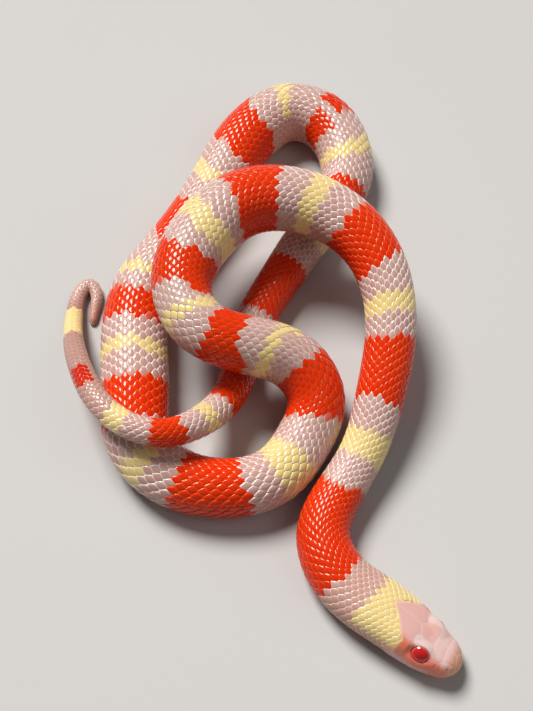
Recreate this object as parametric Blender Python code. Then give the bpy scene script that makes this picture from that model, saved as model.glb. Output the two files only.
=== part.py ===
"""Milk snake, life size, coiled at rest with its head and neck stretched out in front.

Named sizes are in millimetres and become metres where a mesh is made. The snake lies
along a course, a smooth curve from snout to tail tip. "Along" is the distance from the
snout, measured on the course as seen from above. At each place along it the body is a
ring: as wide as HALF_WIDTH says, domed above and nearly flat below.
"""
import math

import bmesh
import bpy
import numpy as np

MM = 0.001
GAP = 0.3

# The course seen from above, snout first, then round both loops to the tail tip.
COURSE = [
    (25.0, -47.7), (20.4, -44.7), (16.3, -41.3), (10.2, -36.4), (7.8, -30.0),
    (10.3, -23.7), (13.9, -17.6), (16.5, -9.9), (18.3, 0.0), (17.0, 9.1),
    (12.3, 16.2), (5.0, 20.1), (-3.0, 19.4), (-9.9, 12.6), (-12.4, 4.3),
    (-9.5, -2.1), (-2.5, -4.2), (4.3, -5.5), (7.2, -10.0), (5.6, -15.6),
    (0.5, -21.9), (-6.5, -23.4), (-13.6, -21.5), (-18.2, -16.6), (-19.3, -9.2),
    (-20.0, 0.5), (-19.1, 9.5), (-15.4, 16.4), (-8.4, 29.9), (-4.9, 37.9),
    (-1.4, 43.1), (3.4, 46.5), (8.9, 45.4), (12.8, 39.7), (13.4, 32.3),
    (8.3, 22.8), (2.0, 12.2), (-2.7, 2.4), (-4.6, -6.5), (-8.3, -14.2),
    (-14.3, -18.2), (-21.1, -15.8), (-26.8, -7.0), (-29.7, 2.5), (-30.15, 8.5),
    (-29.4, 11.6), (-28.35, 12.5), (-27.45, 11.6), (-27.15, 8.6), (-27.4, 5.3)]
MIDDLE = (-3.16, 1.36)

# Half the body's width at places along it, before the snout and the tip are rounded off.
HALF_WIDTH = [
    (0.0, 2.35), (1.2, 2.58), (2.2, 2.84), (3.8, 3.28), (5.6, 3.66), (7.8, 4.08),
    (12.0, 4.42), (16.0, 4.3), (20.0, 4.02), (28.0, 3.62), (38.0, 3.28), (48.0, 3.62), (60.0, 3.82),
    (68.0, 4.1), (78.0, 4.7), (90.0, 5.2), (99.0, 5.12), (106.0, 4.75), (112.0, 4.3),
    (118.0, 4.15), (126.0, 4.35), (138.0, 4.22), (154.0, 4.15), (164.0, 4.35),
    (176.0, 4.95), (186.0, 5.05), (198.0, 4.9), (220.0, 4.82), (244.0, 5.05),
    (254.0, 4.7), (264.0, 4.2), (286.0, 3.3), (306.0, 2.65), (324.0, 1.9), (336.0, 1.75),
    (350.0, 1.43), (356.0, 1.22), (361.0, 0.98), (365.0, 0.7), (369.0, 0.34)]
SNOUT_ROUNDING = 2.0
TIP_ROUNDING = 1.0

# Height of the back above the ring's middle and depth of the belly below it, as shares
# of the half width. The head is low and boxy, the trunk nearly round.
RISE = [(0.0, 0.68), (5.0, 0.72), (9.0, 0.71), (14.0, 0.74), (22.0, 0.83), (34.0, 0.92)]
DEPTH = [(0.0, 0.6), (5.0, 0.64), (9.0, 0.65), (14.0, 0.71), (22.0, 0.8), (34.0, 0.9)]
BOXINESS = [(0.0, 0.8), (3.0, 0.7), (7.0, 0.7), (12.0, 0.86), (20.0, 1.0)]
BELLY_BLUNTNESS = 0.75
BELLY_SINK = 0.96

# Height of the belly above the floor. The upper loop climbs over the lower one, and the
# tail climbs over the front of the lower loop and comes down on its far side.
LIFT = [
    (0.0, 0.8), (6.0, 0.0), (28.0, 0.0), (75.0, 8.4), (97.0, 9.2), (114.0, 9.1), (144.5, 0.0),
    (300.0, 0.0), (324.0, 9.3), (329.0, 9.3), (356.0, 0.0)]
HEAD_ROLL = [(0.0, 22.0), (8.0, 22.0), (26.0, 0.0)]

# Where each length of the body starts and ends, going back from the snout.
LENGTHS = [
    ("neck", 11.5, 34.0), ("trunk_01", 34.0, 62.0), ("trunk_02", 62.0, 88.0),
    ("trunk_03", 88.0, 113.0), ("trunk_04", 113.0, 138.0), ("trunk_05", 138.0, 158.0),
    ("trunk_06", 158.0, 182.0), ("trunk_07", 182.0, 212.0), ("trunk_08", 212.0, 242.0),
    ("trunk_09", 242.0, 266.0), ("trunk_10", 266.0, 292.0), ("trunk_11", 292.0, 315.0),
    ("tail_base", 315.0, 333.0), ("tail_middle", 333.0, 351.0)]
HEAD_END = 11.5
TIP_START = 351.0

# How finely the tubes are divided. Ring spacing is a share of the half width.
SIDES = 24
TAIL_SIDES = 14
SLENDER = 2.0
RING_SPACING = 0.7
TIP_RINGS = 22
HEAD_SIDES = 32
HEAD_RINGS = 12
SNOUT_RINGS = 6
SNOUT_FIRST_TURN = 0.12
MOUTH_POINTS = 14
EYE_SEGMENTS = 18
EYE_RINGS = 9
SHARP_DEGREES = 50
DIRECTION_STEP = 0.05

# The eye is a shallow dome in an open socket, its rim on a plane that leans inwards.
EYE_ALONG = 4.9
EYE_OUTWARD = 2.9
EYE_HEIGHT = 1.52
EYE_LEAN = 28.0
EYE_AHEAD = 11.0
EYE_RADIUS = 1.27
EYE_DOME = 0.45
EYE_DEPTH = 0.85
SOCKET_CLEARANCE = 0.1
SOCKET_OPENING = 2.0

# The mouth line in side view, from the snout to the corner of the jaw, then the throat.
MOUTH_LINE = [(-1.0, -0.42), (1.0, -0.46), (3.5, -0.86), (6.5, -1.02), (9.2, -0.62)]
THROAT_CUT = (10.4, -4.0)
JAW_REACH = 5.0

SKIN_PINK = (0.66, 0.36, 0.33, 1.0)
SKIN_RED = (0.72, 0.07, 0.02, 1.0)
SKIN_YELLOW = (0.80, 0.66, 0.30, 1.0)
EYE_RED = (0.42, 0.01, 0.02, 1.0)
SKIN_ROUGHNESS = 0.35
EYE_ROUGHNESS = 0.1


def natural_spline(knots, values, places):
    """Cubic curve through the values at the knots, unbent at both ends."""
    step = np.diff(knots)
    count = len(knots)
    system = np.eye(count)
    target = np.zeros(values.shape)
    for k in range(1, count - 1):
        system[k, k - 1:k + 2] = step[k - 1], 2 * (step[k - 1] + step[k]), step[k]
        rise_after = (values[k + 1] - values[k]) / step[k]
        rise_before = (values[k] - values[k - 1]) / step[k - 1]
        target[k] = 6 * (rise_after - rise_before)
    bend = np.linalg.solve(system, target)
    k = np.clip(np.searchsorted(knots, places) - 1, 0, count - 2)
    span = step[k]
    b = (places - knots[k]) / span
    a = 1 - b
    if values.ndim == 2:
        a, b, span = a[:, None], b[:, None], span[:, None]
    cubic = ((a ** 3 - a) * bend[k] + (b ** 3 - b) * bend[k + 1]) * span ** 2 / 6
    return a * values[k] + b * values[k + 1] + cubic


def smooth_table(table, places):
    """A table of (along, value) read as one smooth curve, level past its last entry."""
    table = np.array(table)
    inside = np.clip(places, table[0, 0], table[-1, 0])
    return natural_spline(table[:, 0], table[:, 1], inside)


def eased_table(table, places):
    """A table of (along, value) that eases in and out between its entries."""
    table = np.array(table)
    k = np.clip(np.searchsorted(table[:, 0], places) - 1, 0, len(table) - 2)
    share = (places - table[k, 0]) / (table[k + 1, 0] - table[k, 0])
    share = np.clip(share, 0, 1)
    return table[k, 1] + (table[k + 1, 1] - table[k, 1]) * share ** 2 * (3 - 2 * share)


ROUTE = np.array(COURSE) - np.array(MIDDLE)
MILESTONES = np.concatenate([[0.0], np.cumsum(np.hypot(*np.diff(ROUTE, axis=0).T))])
TOTAL = MILESTONES[-1]


def half_width(along):
    """Width table, rounded off as an ellipse at the snout and at the tail tip."""
    snout = np.clip(along / SNOUT_ROUNDING, 0, 1)
    tip = np.clip((TOTAL - along) / TIP_ROUNDING, 0, 1)
    rounding = np.sqrt(1 - (1 - snout) ** 2) * np.sqrt(1 - (1 - tip) ** 2)
    return smooth_table(HALF_WIDTH, along) * rounding


def middle_line(along):
    """The rings' middles: the course, at the height that sets the belly on its lift."""
    plan = natural_spline(MILESTONES, ROUTE, along)
    belly = smooth_table(HALF_WIDTH, along) * eased_table(DEPTH, along) * BELLY_SINK
    return np.column_stack([plan, eased_table(LIFT, along) + belly])


def directions(along):
    """Unit vectors back along the body, to the snake's left and out of its back."""
    ahead = middle_line(np.clip(along + DIRECTION_STEP, 0, TOTAL))
    behind = middle_line(np.clip(along - DIRECTION_STEP, 0, TOTAL))
    back = ahead - behind
    back /= np.linalg.norm(back, axis=1)[:, None]
    left = np.column_stack([back[:, 1], -back[:, 0], np.zeros(len(back))])
    left /= np.linalg.norm(left, axis=1)[:, None]
    up = np.cross(left, back)
    up *= np.sign(up[:, 2])[:, None]
    roll = np.radians(eased_table(HEAD_ROLL, along))[:, None]
    return back, left * np.cos(roll) - up * np.sin(roll), up * np.cos(roll) + left * np.sin(roll)


def place(along, leftward, upward):
    """Points given along the course, to its left and above its middle, in mm."""
    _, left, up = directions(along)
    return middle_line(along) + left * leftward[:, None] + up * upward[:, None]


def ring(along, sides):
    """Points round the body at one place, from the middle of the back to the left."""
    turn = np.arange(sides) * 2 * math.pi / sides
    here = np.full(sides, along)
    wide = half_width(here)
    box = eased_table(BOXINESS, here)
    side, top = np.sin(turn), np.cos(turn)
    leftward = wide * np.sign(side) * np.abs(side) ** box
    dome = wide * eased_table(RISE, here) * np.abs(top) ** box
    belly = -wide * eased_table(DEPTH, here) * np.abs(top) ** BELLY_BLUNTNESS
    points = place(here, leftward, np.where(top > 0, dome, belly))
    points[:, 2] = np.maximum(points[:, 2], 0)
    return points


def loft(rings, start_point=None, end_point=None):
    """A closed tube through the rings, ending in flat faces or in given points."""
    bm = bmesh.new()
    rows = [[bm.verts.new(p * MM) for p in points] for points in rings]
    for near, far in zip(rows, rows[1:]):
        for k in range(len(near)):
            m = (k + 1) % len(near)
            bm.faces.new((near[k], near[m], far[m], far[k]))
    for row, point in ((rows[0], start_point), (rows[-1], end_point)):
        if point is None:
            bm.faces.new(row)
            continue
        pole = bm.verts.new(point * MM)
        for k in range(len(row)):
            bm.faces.new((row[k], row[(k + 1) % len(row)], pole))
    bm.normal_update()
    bmesh.ops.recalc_face_normals(bm, faces=bm.faces)
    return bm


def finish(bm, name, collection, material=None):
    """Turns a bmesh into a smooth-shaded object with the given material."""
    mesh = bpy.data.meshes.new(name)
    bm.to_mesh(mesh)
    bm.free()
    mesh.shade_smooth()
    mesh.set_sharp_from_angle(angle=math.radians(SHARP_DEGREES))
    obj = bpy.data.objects.new(name, mesh)
    collection.objects.link(obj)
    if material:
        mesh.materials.append(material)
    return obj


def finish_material(name, colour, roughness):
    """A Principled material."""
    material = bpy.data.materials.new(name)
    material.use_nodes = True
    shader = material.node_tree.nodes["Principled BSDF"]
    shader.inputs["Base Color"].default_value = colour
    shader.inputs["Roughness"].default_value = roughness
    shader.inputs["Metallic"].default_value = 0.0
    return material


def cut(obj, cutter, operation="DIFFERENCE"):
    """Adds a Boolean that cuts the object by the cutter, or keeps what they share."""
    boolean = obj.modifiers.new(operation.lower(), "BOOLEAN")
    boolean.operation = operation
    boolean.solver = "EXACT"
    boolean.object = cutter
    cutter.hide_render = True
    cutter.display_type = "WIRE"


def body_length(name, start, end, collection, material):
    """One length of neck, trunk or tail between two flat cuts."""
    first, last = start + GAP / 2, end - GAP / 2
    typical = float(half_width(np.array([(start + end) / 2]))[0])
    sides = SIDES if typical > SLENDER else TAIL_SIDES
    count = math.ceil((last - first) / (RING_SPACING * typical)) + 1
    rings = [ring(along, sides) for along in np.linspace(first, last, count)]
    return finish(loft(rings), name, collection, material)


def tail_tip(collection, material):
    """The last length, curled back on itself, with rings closer together."""
    first, rounded = TIP_START + GAP / 2, TOTAL - TIP_ROUNDING / 3
    last = TOTAL - TIP_ROUNDING / 25
    stations = np.append(np.linspace(first, rounded, TIP_RINGS), last)
    rings = [ring(along, TAIL_SIDES) for along in stations]
    end = middle_line(np.array([TOTAL]))[0]
    return finish(loft(rings, end_point=end), "tail_tip", collection, material)


def whole_head():
    """The head with its jaw: close rings round the snout, wider ones behind it."""
    turn = np.linspace(SNOUT_FIRST_TURN, math.pi / 2, SNOUT_RINGS)
    snout = SNOUT_ROUNDING * (1 - np.cos(turn))
    behind = np.linspace(SNOUT_ROUNDING, HEAD_END - GAP / 2, HEAD_RINGS)[1:]
    rings = [ring(along, HEAD_SIDES) for along in np.concatenate([snout, behind])]
    return loft(rings, start_point=middle_line(np.array([0.0]))[0])


def jaw_block(inset):
    """The space below the mouth line and ahead of the throat, drawn in by the inset."""
    line = np.array(MOUTH_LINE)
    along = np.linspace(line[0, 0], line[-1, 0], MOUTH_POINTS)
    height = natural_spline(line[:, 0], line[:, 1], along) - inset
    along = np.append(along, [THROAT_CUT[0], line[0, 0]])
    height = np.append(height, [THROAT_CUT[1], THROAT_CUT[1]])
    along[-3:-1] -= inset
    sides = []
    for reach in (-JAW_REACH, JAW_REACH):
        inside = np.clip(along, 0, TOTAL)
        points = place(inside, np.full(len(along), reach), height)
        back, _, _ = directions(inside)
        sides.append(points + back * (along - inside)[:, None])
    return loft(sides)


def eye_shape(side, clearance, dome):
    """A round dome over a deeper bowl, at the side of the head, facing out and ahead."""
    here = np.array([EYE_ALONG])
    outward, height = np.array([side * EYE_OUTWARD]), np.array([EYE_HEIGHT])
    centre = place(here, outward, height)[0]
    back, left, up = (vector[0] for vector in directions(here))
    lean, ahead = math.radians(EYE_LEAN), math.radians(EYE_AHEAD)
    level = left * side * math.cos(ahead) - back * math.sin(ahead)
    out = level * math.cos(lean) + up * math.sin(lean)
    along_face = back * math.cos(ahead) + left * side * math.sin(ahead)
    up_face = np.cross(out, along_face)
    bm = bmesh.new()
    bmesh.ops.create_uvsphere(bm, u_segments=EYE_SEGMENTS, v_segments=EYE_RINGS, radius=1.0)
    for vert in bm.verts:
        x, y, z = vert.co
        thick = dome if z > 0 else EYE_DEPTH
        flat = (along_face * x + up_face * y) * (EYE_RADIUS + clearance)
        vert.co = (centre + flat + out * z * (thick + clearance)) * MM
    bm.normal_update()
    return bm


def build():
    """Models every length, the head, the jaw and the eyes."""
    for obj in list(bpy.data.objects):
        bpy.data.objects.remove(obj)
    snake = bpy.data.collections.new("milk_snake")
    cutters = bpy.data.collections.new("cutters")
    for collection in (snake, cutters):
        bpy.context.scene.collection.children.link(collection)
    pink = finish_material("pink_skin", SKIN_PINK, SKIN_ROUGHNESS)
    red = finish_material("red_skin", SKIN_RED, SKIN_ROUGHNESS)
    yellow = finish_material("yellow_skin", SKIN_YELLOW, SKIN_ROUGHNESS)
    eye_red = finish_material("ruby_eye", EYE_RED, EYE_ROUGHNESS)

    for number, (name, start, end) in enumerate(LENGTHS):
        body_length(name, start, end, snake, (yellow, red, pink)[number % 3])
    tail_tip(snake, pink)

    head = finish(whole_head(), "head", snake, pink)
    jaw = finish(whole_head(), "lower_jaw", snake, pink)
    cut(head, finish(jaw_block(0.0), "mouth_cutter", cutters))
    cut(jaw, finish(jaw_block(GAP), "jaw_keeper", cutters), "INTERSECT")
    for side, name in ((1, "left"), (-1, "right")):
        finish(eye_shape(side, 0.0, EYE_DOME), "eye_" + name, snake, eye_red)
        socket = eye_shape(side, SOCKET_CLEARANCE, SOCKET_OPENING)
        cut(head, finish(socket, "socket_" + name, cutters))


build()
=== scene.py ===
import math

import bpy
import numpy as np
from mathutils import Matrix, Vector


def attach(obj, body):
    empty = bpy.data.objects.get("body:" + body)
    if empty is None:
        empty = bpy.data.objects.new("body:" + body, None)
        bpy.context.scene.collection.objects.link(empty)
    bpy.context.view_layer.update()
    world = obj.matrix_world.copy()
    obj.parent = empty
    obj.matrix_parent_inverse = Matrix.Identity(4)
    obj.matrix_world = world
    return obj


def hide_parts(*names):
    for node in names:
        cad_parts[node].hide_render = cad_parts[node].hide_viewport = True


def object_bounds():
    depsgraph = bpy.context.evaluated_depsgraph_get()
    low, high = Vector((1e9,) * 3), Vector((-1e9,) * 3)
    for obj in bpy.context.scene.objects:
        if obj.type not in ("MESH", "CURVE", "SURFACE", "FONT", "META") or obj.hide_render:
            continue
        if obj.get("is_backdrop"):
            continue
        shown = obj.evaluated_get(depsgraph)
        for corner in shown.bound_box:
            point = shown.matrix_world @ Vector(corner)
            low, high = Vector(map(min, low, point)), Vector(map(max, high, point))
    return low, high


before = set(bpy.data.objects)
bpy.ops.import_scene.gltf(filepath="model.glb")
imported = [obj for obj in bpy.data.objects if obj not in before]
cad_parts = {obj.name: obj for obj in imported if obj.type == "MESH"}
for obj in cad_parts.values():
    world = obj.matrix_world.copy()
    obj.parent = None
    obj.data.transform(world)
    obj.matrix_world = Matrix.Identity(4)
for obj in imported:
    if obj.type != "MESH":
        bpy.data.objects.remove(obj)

cad_low, cad_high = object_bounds()

# The skin: one smooth, slightly see-through surface over soft flesh, from the snout to the tail tip. It
# lies a scale's thickness inside the body's outline, and level with it on the head, where its own broad
# shields, lips, nostrils and eye rims show.

# The outline it follows repeats the model's own sizes in millimetres. A place on the body is told by how
# far back from the snout it is ("along") and by its girth, which runs from 0 on the middle of the back to
# 1 under the belly, negative on the right.
MM = 0.001
BOX_MIDDLE = np.array([-3.16, 1.36])
ROUTE = np.array([
    (25.0, -47.7), (20.4, -44.7), (16.3, -41.3), (10.2, -36.4), (7.8, -30.0),
    (10.3, -23.7), (13.9, -17.6), (16.5, -9.9), (18.3, 0.0), (17.0, 9.1),
    (12.3, 16.2), (5.0, 20.1), (-3.0, 19.4), (-9.9, 12.6), (-12.4, 4.3),
    (-9.5, -2.1), (-2.5, -4.2), (4.3, -5.5), (7.2, -10.0), (5.6, -15.6),
    (0.5, -21.9), (-6.5, -23.4), (-13.6, -21.5), (-18.2, -16.6), (-19.3, -9.2),
    (-20.0, 0.5), (-19.1, 9.5), (-15.4, 16.4), (-8.4, 29.9), (-4.9, 37.9),
    (-1.4, 43.1), (3.4, 46.5), (8.9, 45.4), (12.8, 39.7), (13.4, 32.3),
    (8.3, 22.8), (2.0, 12.2), (-2.7, 2.4), (-4.6, -6.5), (-8.3, -14.2),
    (-14.3, -18.2), (-21.1, -15.8), (-26.8, -7.0), (-29.7, 2.5), (-30.15, 8.5),
    (-29.4, 11.6), (-28.35, 12.5), (-27.45, 11.6), (-27.15, 8.6), (-27.4, 5.3)]) - BOX_MIDDLE
MILESTONES = np.concatenate([[0.0], np.cumsum(np.hypot(*np.diff(ROUTE, axis=0).T))])
TOTAL = MILESTONES[-1]
HALF_WIDTH = np.array([
    (0.0, 2.35), (1.2, 2.58), (2.2, 2.84), (3.8, 3.28), (5.6, 3.66), (7.8, 4.08),
    (12.0, 4.42), (16.0, 4.3), (20.0, 4.02), (28.0, 3.62), (38.0, 3.28), (48.0, 3.62), (60.0, 3.82),
    (68.0, 4.1), (78.0, 4.7), (90.0, 5.2), (99.0, 5.12), (106.0, 4.75), (112.0, 4.3),
    (118.0, 4.15), (126.0, 4.35), (138.0, 4.22), (154.0, 4.15), (164.0, 4.35),
    (176.0, 4.95), (186.0, 5.05), (198.0, 4.9), (220.0, 4.82), (244.0, 5.05),
    (254.0, 4.7), (264.0, 4.2), (286.0, 3.3), (306.0, 2.65), (324.0, 1.9), (336.0, 1.75),
    (350.0, 1.43), (356.0, 1.22), (361.0, 0.98), (365.0, 0.7), (369.0, 0.34)])
SNOUT_ROUNDING = 2.0
TIP_ROUNDING = 1.0
RISE = [(0.0, 0.68), (5.0, 0.72), (9.0, 0.71), (14.0, 0.74), (22.0, 0.83), (34.0, 0.92)]
DEPTH = [(0.0, 0.6), (5.0, 0.64), (9.0, 0.65), (14.0, 0.71), (22.0, 0.8), (34.0, 0.9)]
BOXINESS = [(0.0, 0.8), (3.0, 0.7), (7.0, 0.7), (12.0, 0.86), (20.0, 1.0)]
BELLY_BLUNTNESS = 0.75
BELLY_SINK = 0.96
LIFT = [
    (0.0, 0.8), (6.0, 0.0), (28.0, 0.0), (75.0, 8.4), (97.0, 9.2), (114.0, 9.1), (144.5, 0.0),
    (300.0, 0.0), (324.0, 9.3), (329.0, 9.3), (356.0, 0.0)]
HEAD_ROLL = [(0.0, 22.0), (8.0, 22.0), (26.0, 0.0)]
FLOOR_GIVE = 0.12
LOOK_AHEAD = 0.05
ROUND_STEP = 0.006
ALONG_STEP = 0.06


def natural_spline(knots, values, places):
    """Cubic curve through the values at the knots, unbent at both ends."""
    step = np.diff(knots)
    count = len(knots)
    system = np.eye(count)
    target = np.zeros(values.shape)
    for k in range(1, count - 1):
        system[k, k - 1:k + 2] = step[k - 1], 2 * (step[k - 1] + step[k]), step[k]
        slope_before = (values[k] - values[k - 1]) / step[k - 1]
        slope_after = (values[k + 1] - values[k]) / step[k]
        target[k] = 6 * (slope_after - slope_before)
    bend = np.linalg.solve(system, target)
    k = np.clip(np.searchsorted(knots, places) - 1, 0, count - 2)
    span = step[k]
    b = (places - knots[k]) / span
    a = 1 - b
    if values.ndim == 2:
        a, b, span = a[:, None], b[:, None], span[:, None]
    cubic = ((a ** 3 - a) * bend[k] + (b ** 3 - b) * bend[k + 1]) * span ** 2 / 6
    return a * values[k] + b * values[k + 1] + cubic


def eased(table, places):
    """A table of (along, value) that eases in and out between its entries by 3t^2 - 2t^3."""
    table = np.array(table)
    k = np.clip(np.searchsorted(table[:, 0], places) - 1, 0, len(table) - 2)
    share = np.clip((places - table[k, 0]) / (table[k + 1, 0] - table[k, 0]), 0, 1)
    return table[k, 1] + (table[k + 1, 1] - table[k, 1]) * share ** 2 * (3 - 2 * share)


def full_width(along):
    """The spline through the width table, before the ends are rounded."""
    inside = np.clip(along, HALF_WIDTH[0, 0], HALF_WIDTH[-1, 0])
    return natural_spline(HALF_WIDTH[:, 0], HALF_WIDTH[:, 1], inside)


def half_width(along):
    """The full width times a quarter ellipse at the snout and another at the tail tip."""
    snout = np.clip(along / SNOUT_ROUNDING, 0, 1)
    tip = np.clip((TOTAL - along) / TIP_ROUNDING, 0, 1)
    return full_width(along) * np.sqrt(1 - (1 - snout) ** 2) * np.sqrt(1 - (1 - tip) ** 2)


def middle_line(along):
    """The rings' middles: the course in plan, at the height that rests the belly on its lift."""
    plan = natural_spline(MILESTONES, ROUTE, along)
    height = eased(LIFT, along) + full_width(along) * eased(DEPTH, along) * BELLY_SINK
    return np.column_stack([plan, height])


def directions(along):
    """Unit vectors back along the body, to its left and out of its back, turned by the head's roll."""
    before = middle_line(np.clip(along - LOOK_AHEAD, 0, TOTAL))
    back = middle_line(np.clip(along + LOOK_AHEAD, 0, TOTAL)) - before
    back /= np.linalg.norm(back, axis=1)[:, None]
    left = np.column_stack([back[:, 1], -back[:, 0], np.zeros(len(back))])
    left /= np.linalg.norm(left, axis=1)[:, None]
    up = np.cross(left, back)
    up *= np.sign(up[:, 2])[:, None]
    roll = np.radians(eased(HEAD_ROLL, along))[:, None]
    return back, left * np.cos(roll) - up * np.sin(roll), up * np.cos(roll) + left * np.sin(roll)


def ring_offsets(along, turn):
    """How far left and how far up a ring reaches at a turn from the middle of the back.

    Left is the half width times the sine to the boxiness. Up is the half width and rise times the cosine
    to the boxiness above, and the half width and depth times the cosine to the bluntness below.
    """
    wide, box = half_width(along), eased(BOXINESS, along)
    side, top = np.sin(turn), np.cos(turn)
    dome = wide * eased(RISE, along) * np.abs(top) ** box
    belly = -wide * eased(DEPTH, along) * np.abs(top) ** BELLY_BLUNTNESS
    return wide * np.sign(side) * np.abs(side) ** box, np.where(top > 0, dome, belly)


# Turn for each girth, worked out once at stations half a millimetre apart: the ring is walked from the
# back to the belly, and the turns are read off at even shares of the way.
STATION_STEP = 0.5
FIRST_STATION = 0.02
LAST_STATION = TOTAL - 0.05
WALK_STEPS = 121
SNOUT_GIRTH = 2.735
STATIONS = np.append(np.arange(FIRST_STATION, LAST_STATION, STATION_STEP), LAST_STATION)
quarter = math.pi / 4 * (1 - np.cos(np.linspace(0, math.pi, WALK_STEPS)))
walk = np.concatenate([quarter, math.pi / 2 + quarter[1:]])
leftward, upward = ring_offsets(np.repeat(STATIONS, len(walk)), np.tile(walk, len(STATIONS)))
leftward, upward = leftward.reshape(len(STATIONS), -1), upward.reshape(len(STATIONS), -1)
walked = np.cumsum(np.hypot(np.diff(leftward, axis=1), np.diff(upward, axis=1)), axis=1)
HALF_ROUND = walked[:, -1]
walked = np.column_stack([np.zeros(len(STATIONS)), walked]) / HALF_ROUND[:, None]
SHARES = 257
TURNS = np.array([np.interp(np.linspace(0, 1, SHARES), row, walk) for row in walked])


def half_round(along):
    """Millimetres from the middle of the back round to the middle of the belly.

    It is read between the stations, but on the rounded snout it goes with the half width.
    """
    read = np.interp(along, STATIONS, HALF_ROUND)
    return np.where(along < SNOUT_ROUNDING, half_width(along) * SNOUT_GIRTH, read)


def turn_at(along, girth):
    """Turn from the middle of the back, read between the stations and the shares of their walks."""
    girth = (girth + 1) % 2 - 1
    row = np.clip(np.interp(along, STATIONS, np.arange(len(STATIONS))), 0, len(STATIONS) - 1.001)
    column = np.clip(np.abs(girth) * (SHARES - 1), 0, SHARES - 1.001)
    r, c = row.astype(int), column.astype(int)
    a, b = row - r, column - c
    near = TURNS[r, c] * (1 - b) + TURNS[r, c + 1] * b
    far = TURNS[r + 1, c] * (1 - b) + TURNS[r + 1, c + 1] * b
    return (near * (1 - a) + far * a) * np.sign(girth)


def bare_point(along, girth):
    """A place on the body's own outline."""
    along = np.clip(along, 0, TOTAL)
    leftward, upward = ring_offsets(along, turn_at(along, girth))
    _, left, up = directions(along)
    return middle_line(along) + left * leftward[:, None] + up * upward[:, None]


def outward(along, girth):
    """Unit vector out of the body: the cross product of a small step round it and one along it."""
    round_it = bare_point(along, girth + ROUND_STEP) - bare_point(along, girth - ROUND_STEP)
    along_it = bare_point(along + ALONG_STEP, girth) - bare_point(along - ALONG_STEP, girth)
    normal = np.cross(round_it, along_it)
    return normal / np.maximum(np.linalg.norm(normal, axis=1), 1e-9)[:, None]


def settle(points):
    """Bends what would sink into the floor along it: height h below the give g becomes g e^(h/g - 1)."""
    height = points[:, 2]
    low = np.minimum(height, FLOOR_GIVE)
    points[:, 2] = np.where(height < FLOOR_GIVE, FLOOR_GIVE * np.exp(low / FLOOR_GIVE - 1), height)
    return points


def on_body(along, girth, out):
    """Places on the body or a little off it, bent along the floor where the belly rests."""
    return settle(bare_point(along, girth) + outward(along, girth) * out[:, None])


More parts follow.
